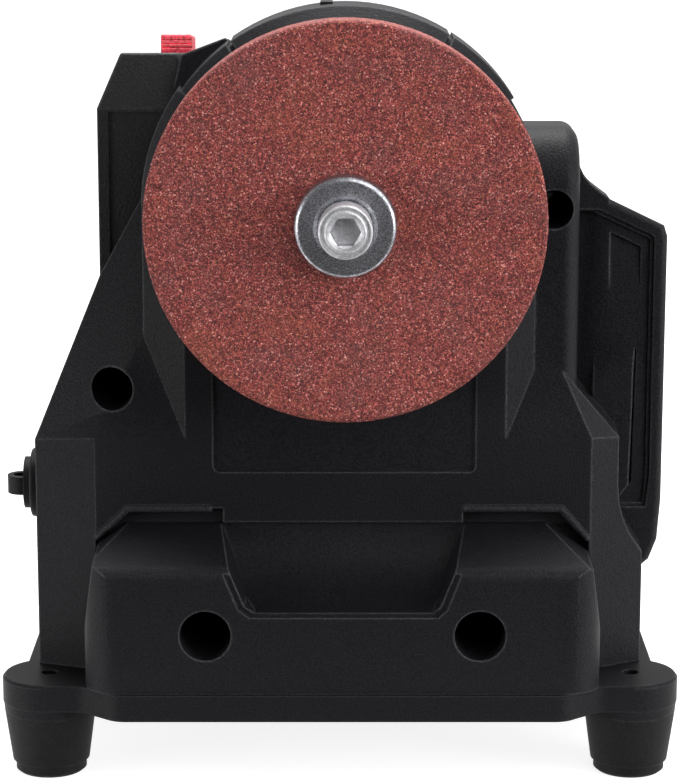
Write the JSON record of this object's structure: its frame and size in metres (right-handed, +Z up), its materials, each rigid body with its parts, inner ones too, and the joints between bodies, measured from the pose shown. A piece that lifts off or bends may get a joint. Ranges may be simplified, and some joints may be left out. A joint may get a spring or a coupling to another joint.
{
  "type": "cordless mini bench grinder",
  "caption": "Small battery bench grinder: grinding wheel on one end of the spindle, tapered screw on the other, black clamshell housing on a footed base.",
  "frame": {"origin": "centre of the four bench screw holes, on the surface that the feet stand on", "axes": "+Z up; the spindle runs along Y with the wheel at -Y; +X is the side with the controls, -X the side with the battery"},
  "size_m": [0.1338, 0.1606, 0.1513],
  "materials": {
    "housing_black": "fine textured moulding",
    "base_black": "moulded",
    "rubber_black": "moulded",
    "pack_black": "coarse textured moulding",
    "button_red": "moulded in red",
    "dial_black": "satin",
    "abrasive_red": "bonded abrasive grain",
    "bright_steel": "nickel plated",
    "ground_steel": "ground",
    "screw_steel": "oiled",
    "can_steel": "zinc plated",
    "magnet_grey": "sintered",
    "copper_wire": "lacquered copper",
    "carbon": "pressed carbon",
    "spring_steel": "drawn",
    "fan_plastic": "moulded",
    "cell_wrap": "shrink sleeve",
    "contact_brass": "plated",
    "board_green": "lacquered board",
    "parts_dark": "moulded",
    "sink_aluminium": "extruded",
    "lead_insulation": "soft insulation"
  },
  "bodies": {
    "housing": {"near_housing": "housing_black", "far_housing": "housing_black", "housing_screws": "screw_steel", "base_plate": "base_black", "base_screws": "screw_steel", "foot_near_left": "rubber_black", "foot_near_right": "rubber_black", "foot_far_left": "rubber_black", "foot_far_right": "rubber_black", "motor_can": "can_steel", "motor_magnets": "magnet_grey", "near_end_bell": "can_steel", "far_end_bell": "can_steel", "motor_bolts": "screw_steel", "near_bearing": "ground_steel", "far_bearing": "ground_steel", "brush_holder": "base_black", "brushes": "carbon", "brush_springs": "spring_steel", "terminal_block": "base_black", "bay_blades": "contact_brass", "control_panel": "base_black", "speed_control": "fan_plastic", "switch_body": "base_black", "control_board": "board_green", "board_parts": "parts_dark", "heat_sink": "sink_aluminium", "charge_inlet": "fan_plastic", "battery_leads": "lead_insulation", "motor_leads": "lead_insulation"},
    "spindle": {"spindle_shaft": "ground_steel", "rotor_core": "can_steel", "rotor_windings": "copper_wire", "commutator": "copper_wire", "cooling_fan": "fan_plastic", "inner_flange": "ground_steel", "grinding_wheel": "abrasive_red", "outer_flange": "bright_steel", "clamp_screw": "bright_steel", "taper_spindle": "bright_steel"},
    "battery": {"battery_case": "pack_black", "battery_lid": "pack_black", "battery_cells": "cell_wrap", "cell_cover": "pack_black", "pack_contacts": "contact_brass", "latch_spring": "spring_steel"},
    "button": {"release_button": "button_red"},
    "rocker": {"power_rocker": "dial_black"},
    "dial": {"speed_dial": "dial_black"},
    "plug": {"dust_plug": "rubber_black"}
  },
  "joints": [
    {"name": "spindle_spin", "type": "hinge", "parent": "housing", "child": "spindle", "pos_m": [0.001, 0, 0.1125], "axis": [0, 1, 0], "continuous": true},
    {"name": "battery_lift", "type": "slide", "parent": "housing", "child": "battery", "axis": [0, 0, 1], "range_m": [0, 0.065]},
    {"name": "release_press", "type": "slide", "parent": "battery", "child": "button", "axis": [0, 0, -1], "range_m": [0, 0.0015], "stiffness_N_per_m": 400, "deforming": ["latch_spring"]},
    {"name": "power_switch", "type": "hinge", "parent": "housing", "child": "rocker", "pos_m": [0.0613, -0.013, 0.0715], "axis": [0, -1, 0], "range_deg": [0, 16]},
    {"name": "speed_adjust", "type": "hinge", "parent": "housing", "child": "dial", "pos_m": [0.0624, 0.0115, 0.0715], "axis": [1, 0, 0], "range_deg": [0, 270]},
    {"name": "plug_pull", "type": "slide", "parent": "housing", "child": "plug", "axis": [-1, 0, 0], "range_m": [0, 0.014]}
  ]
}
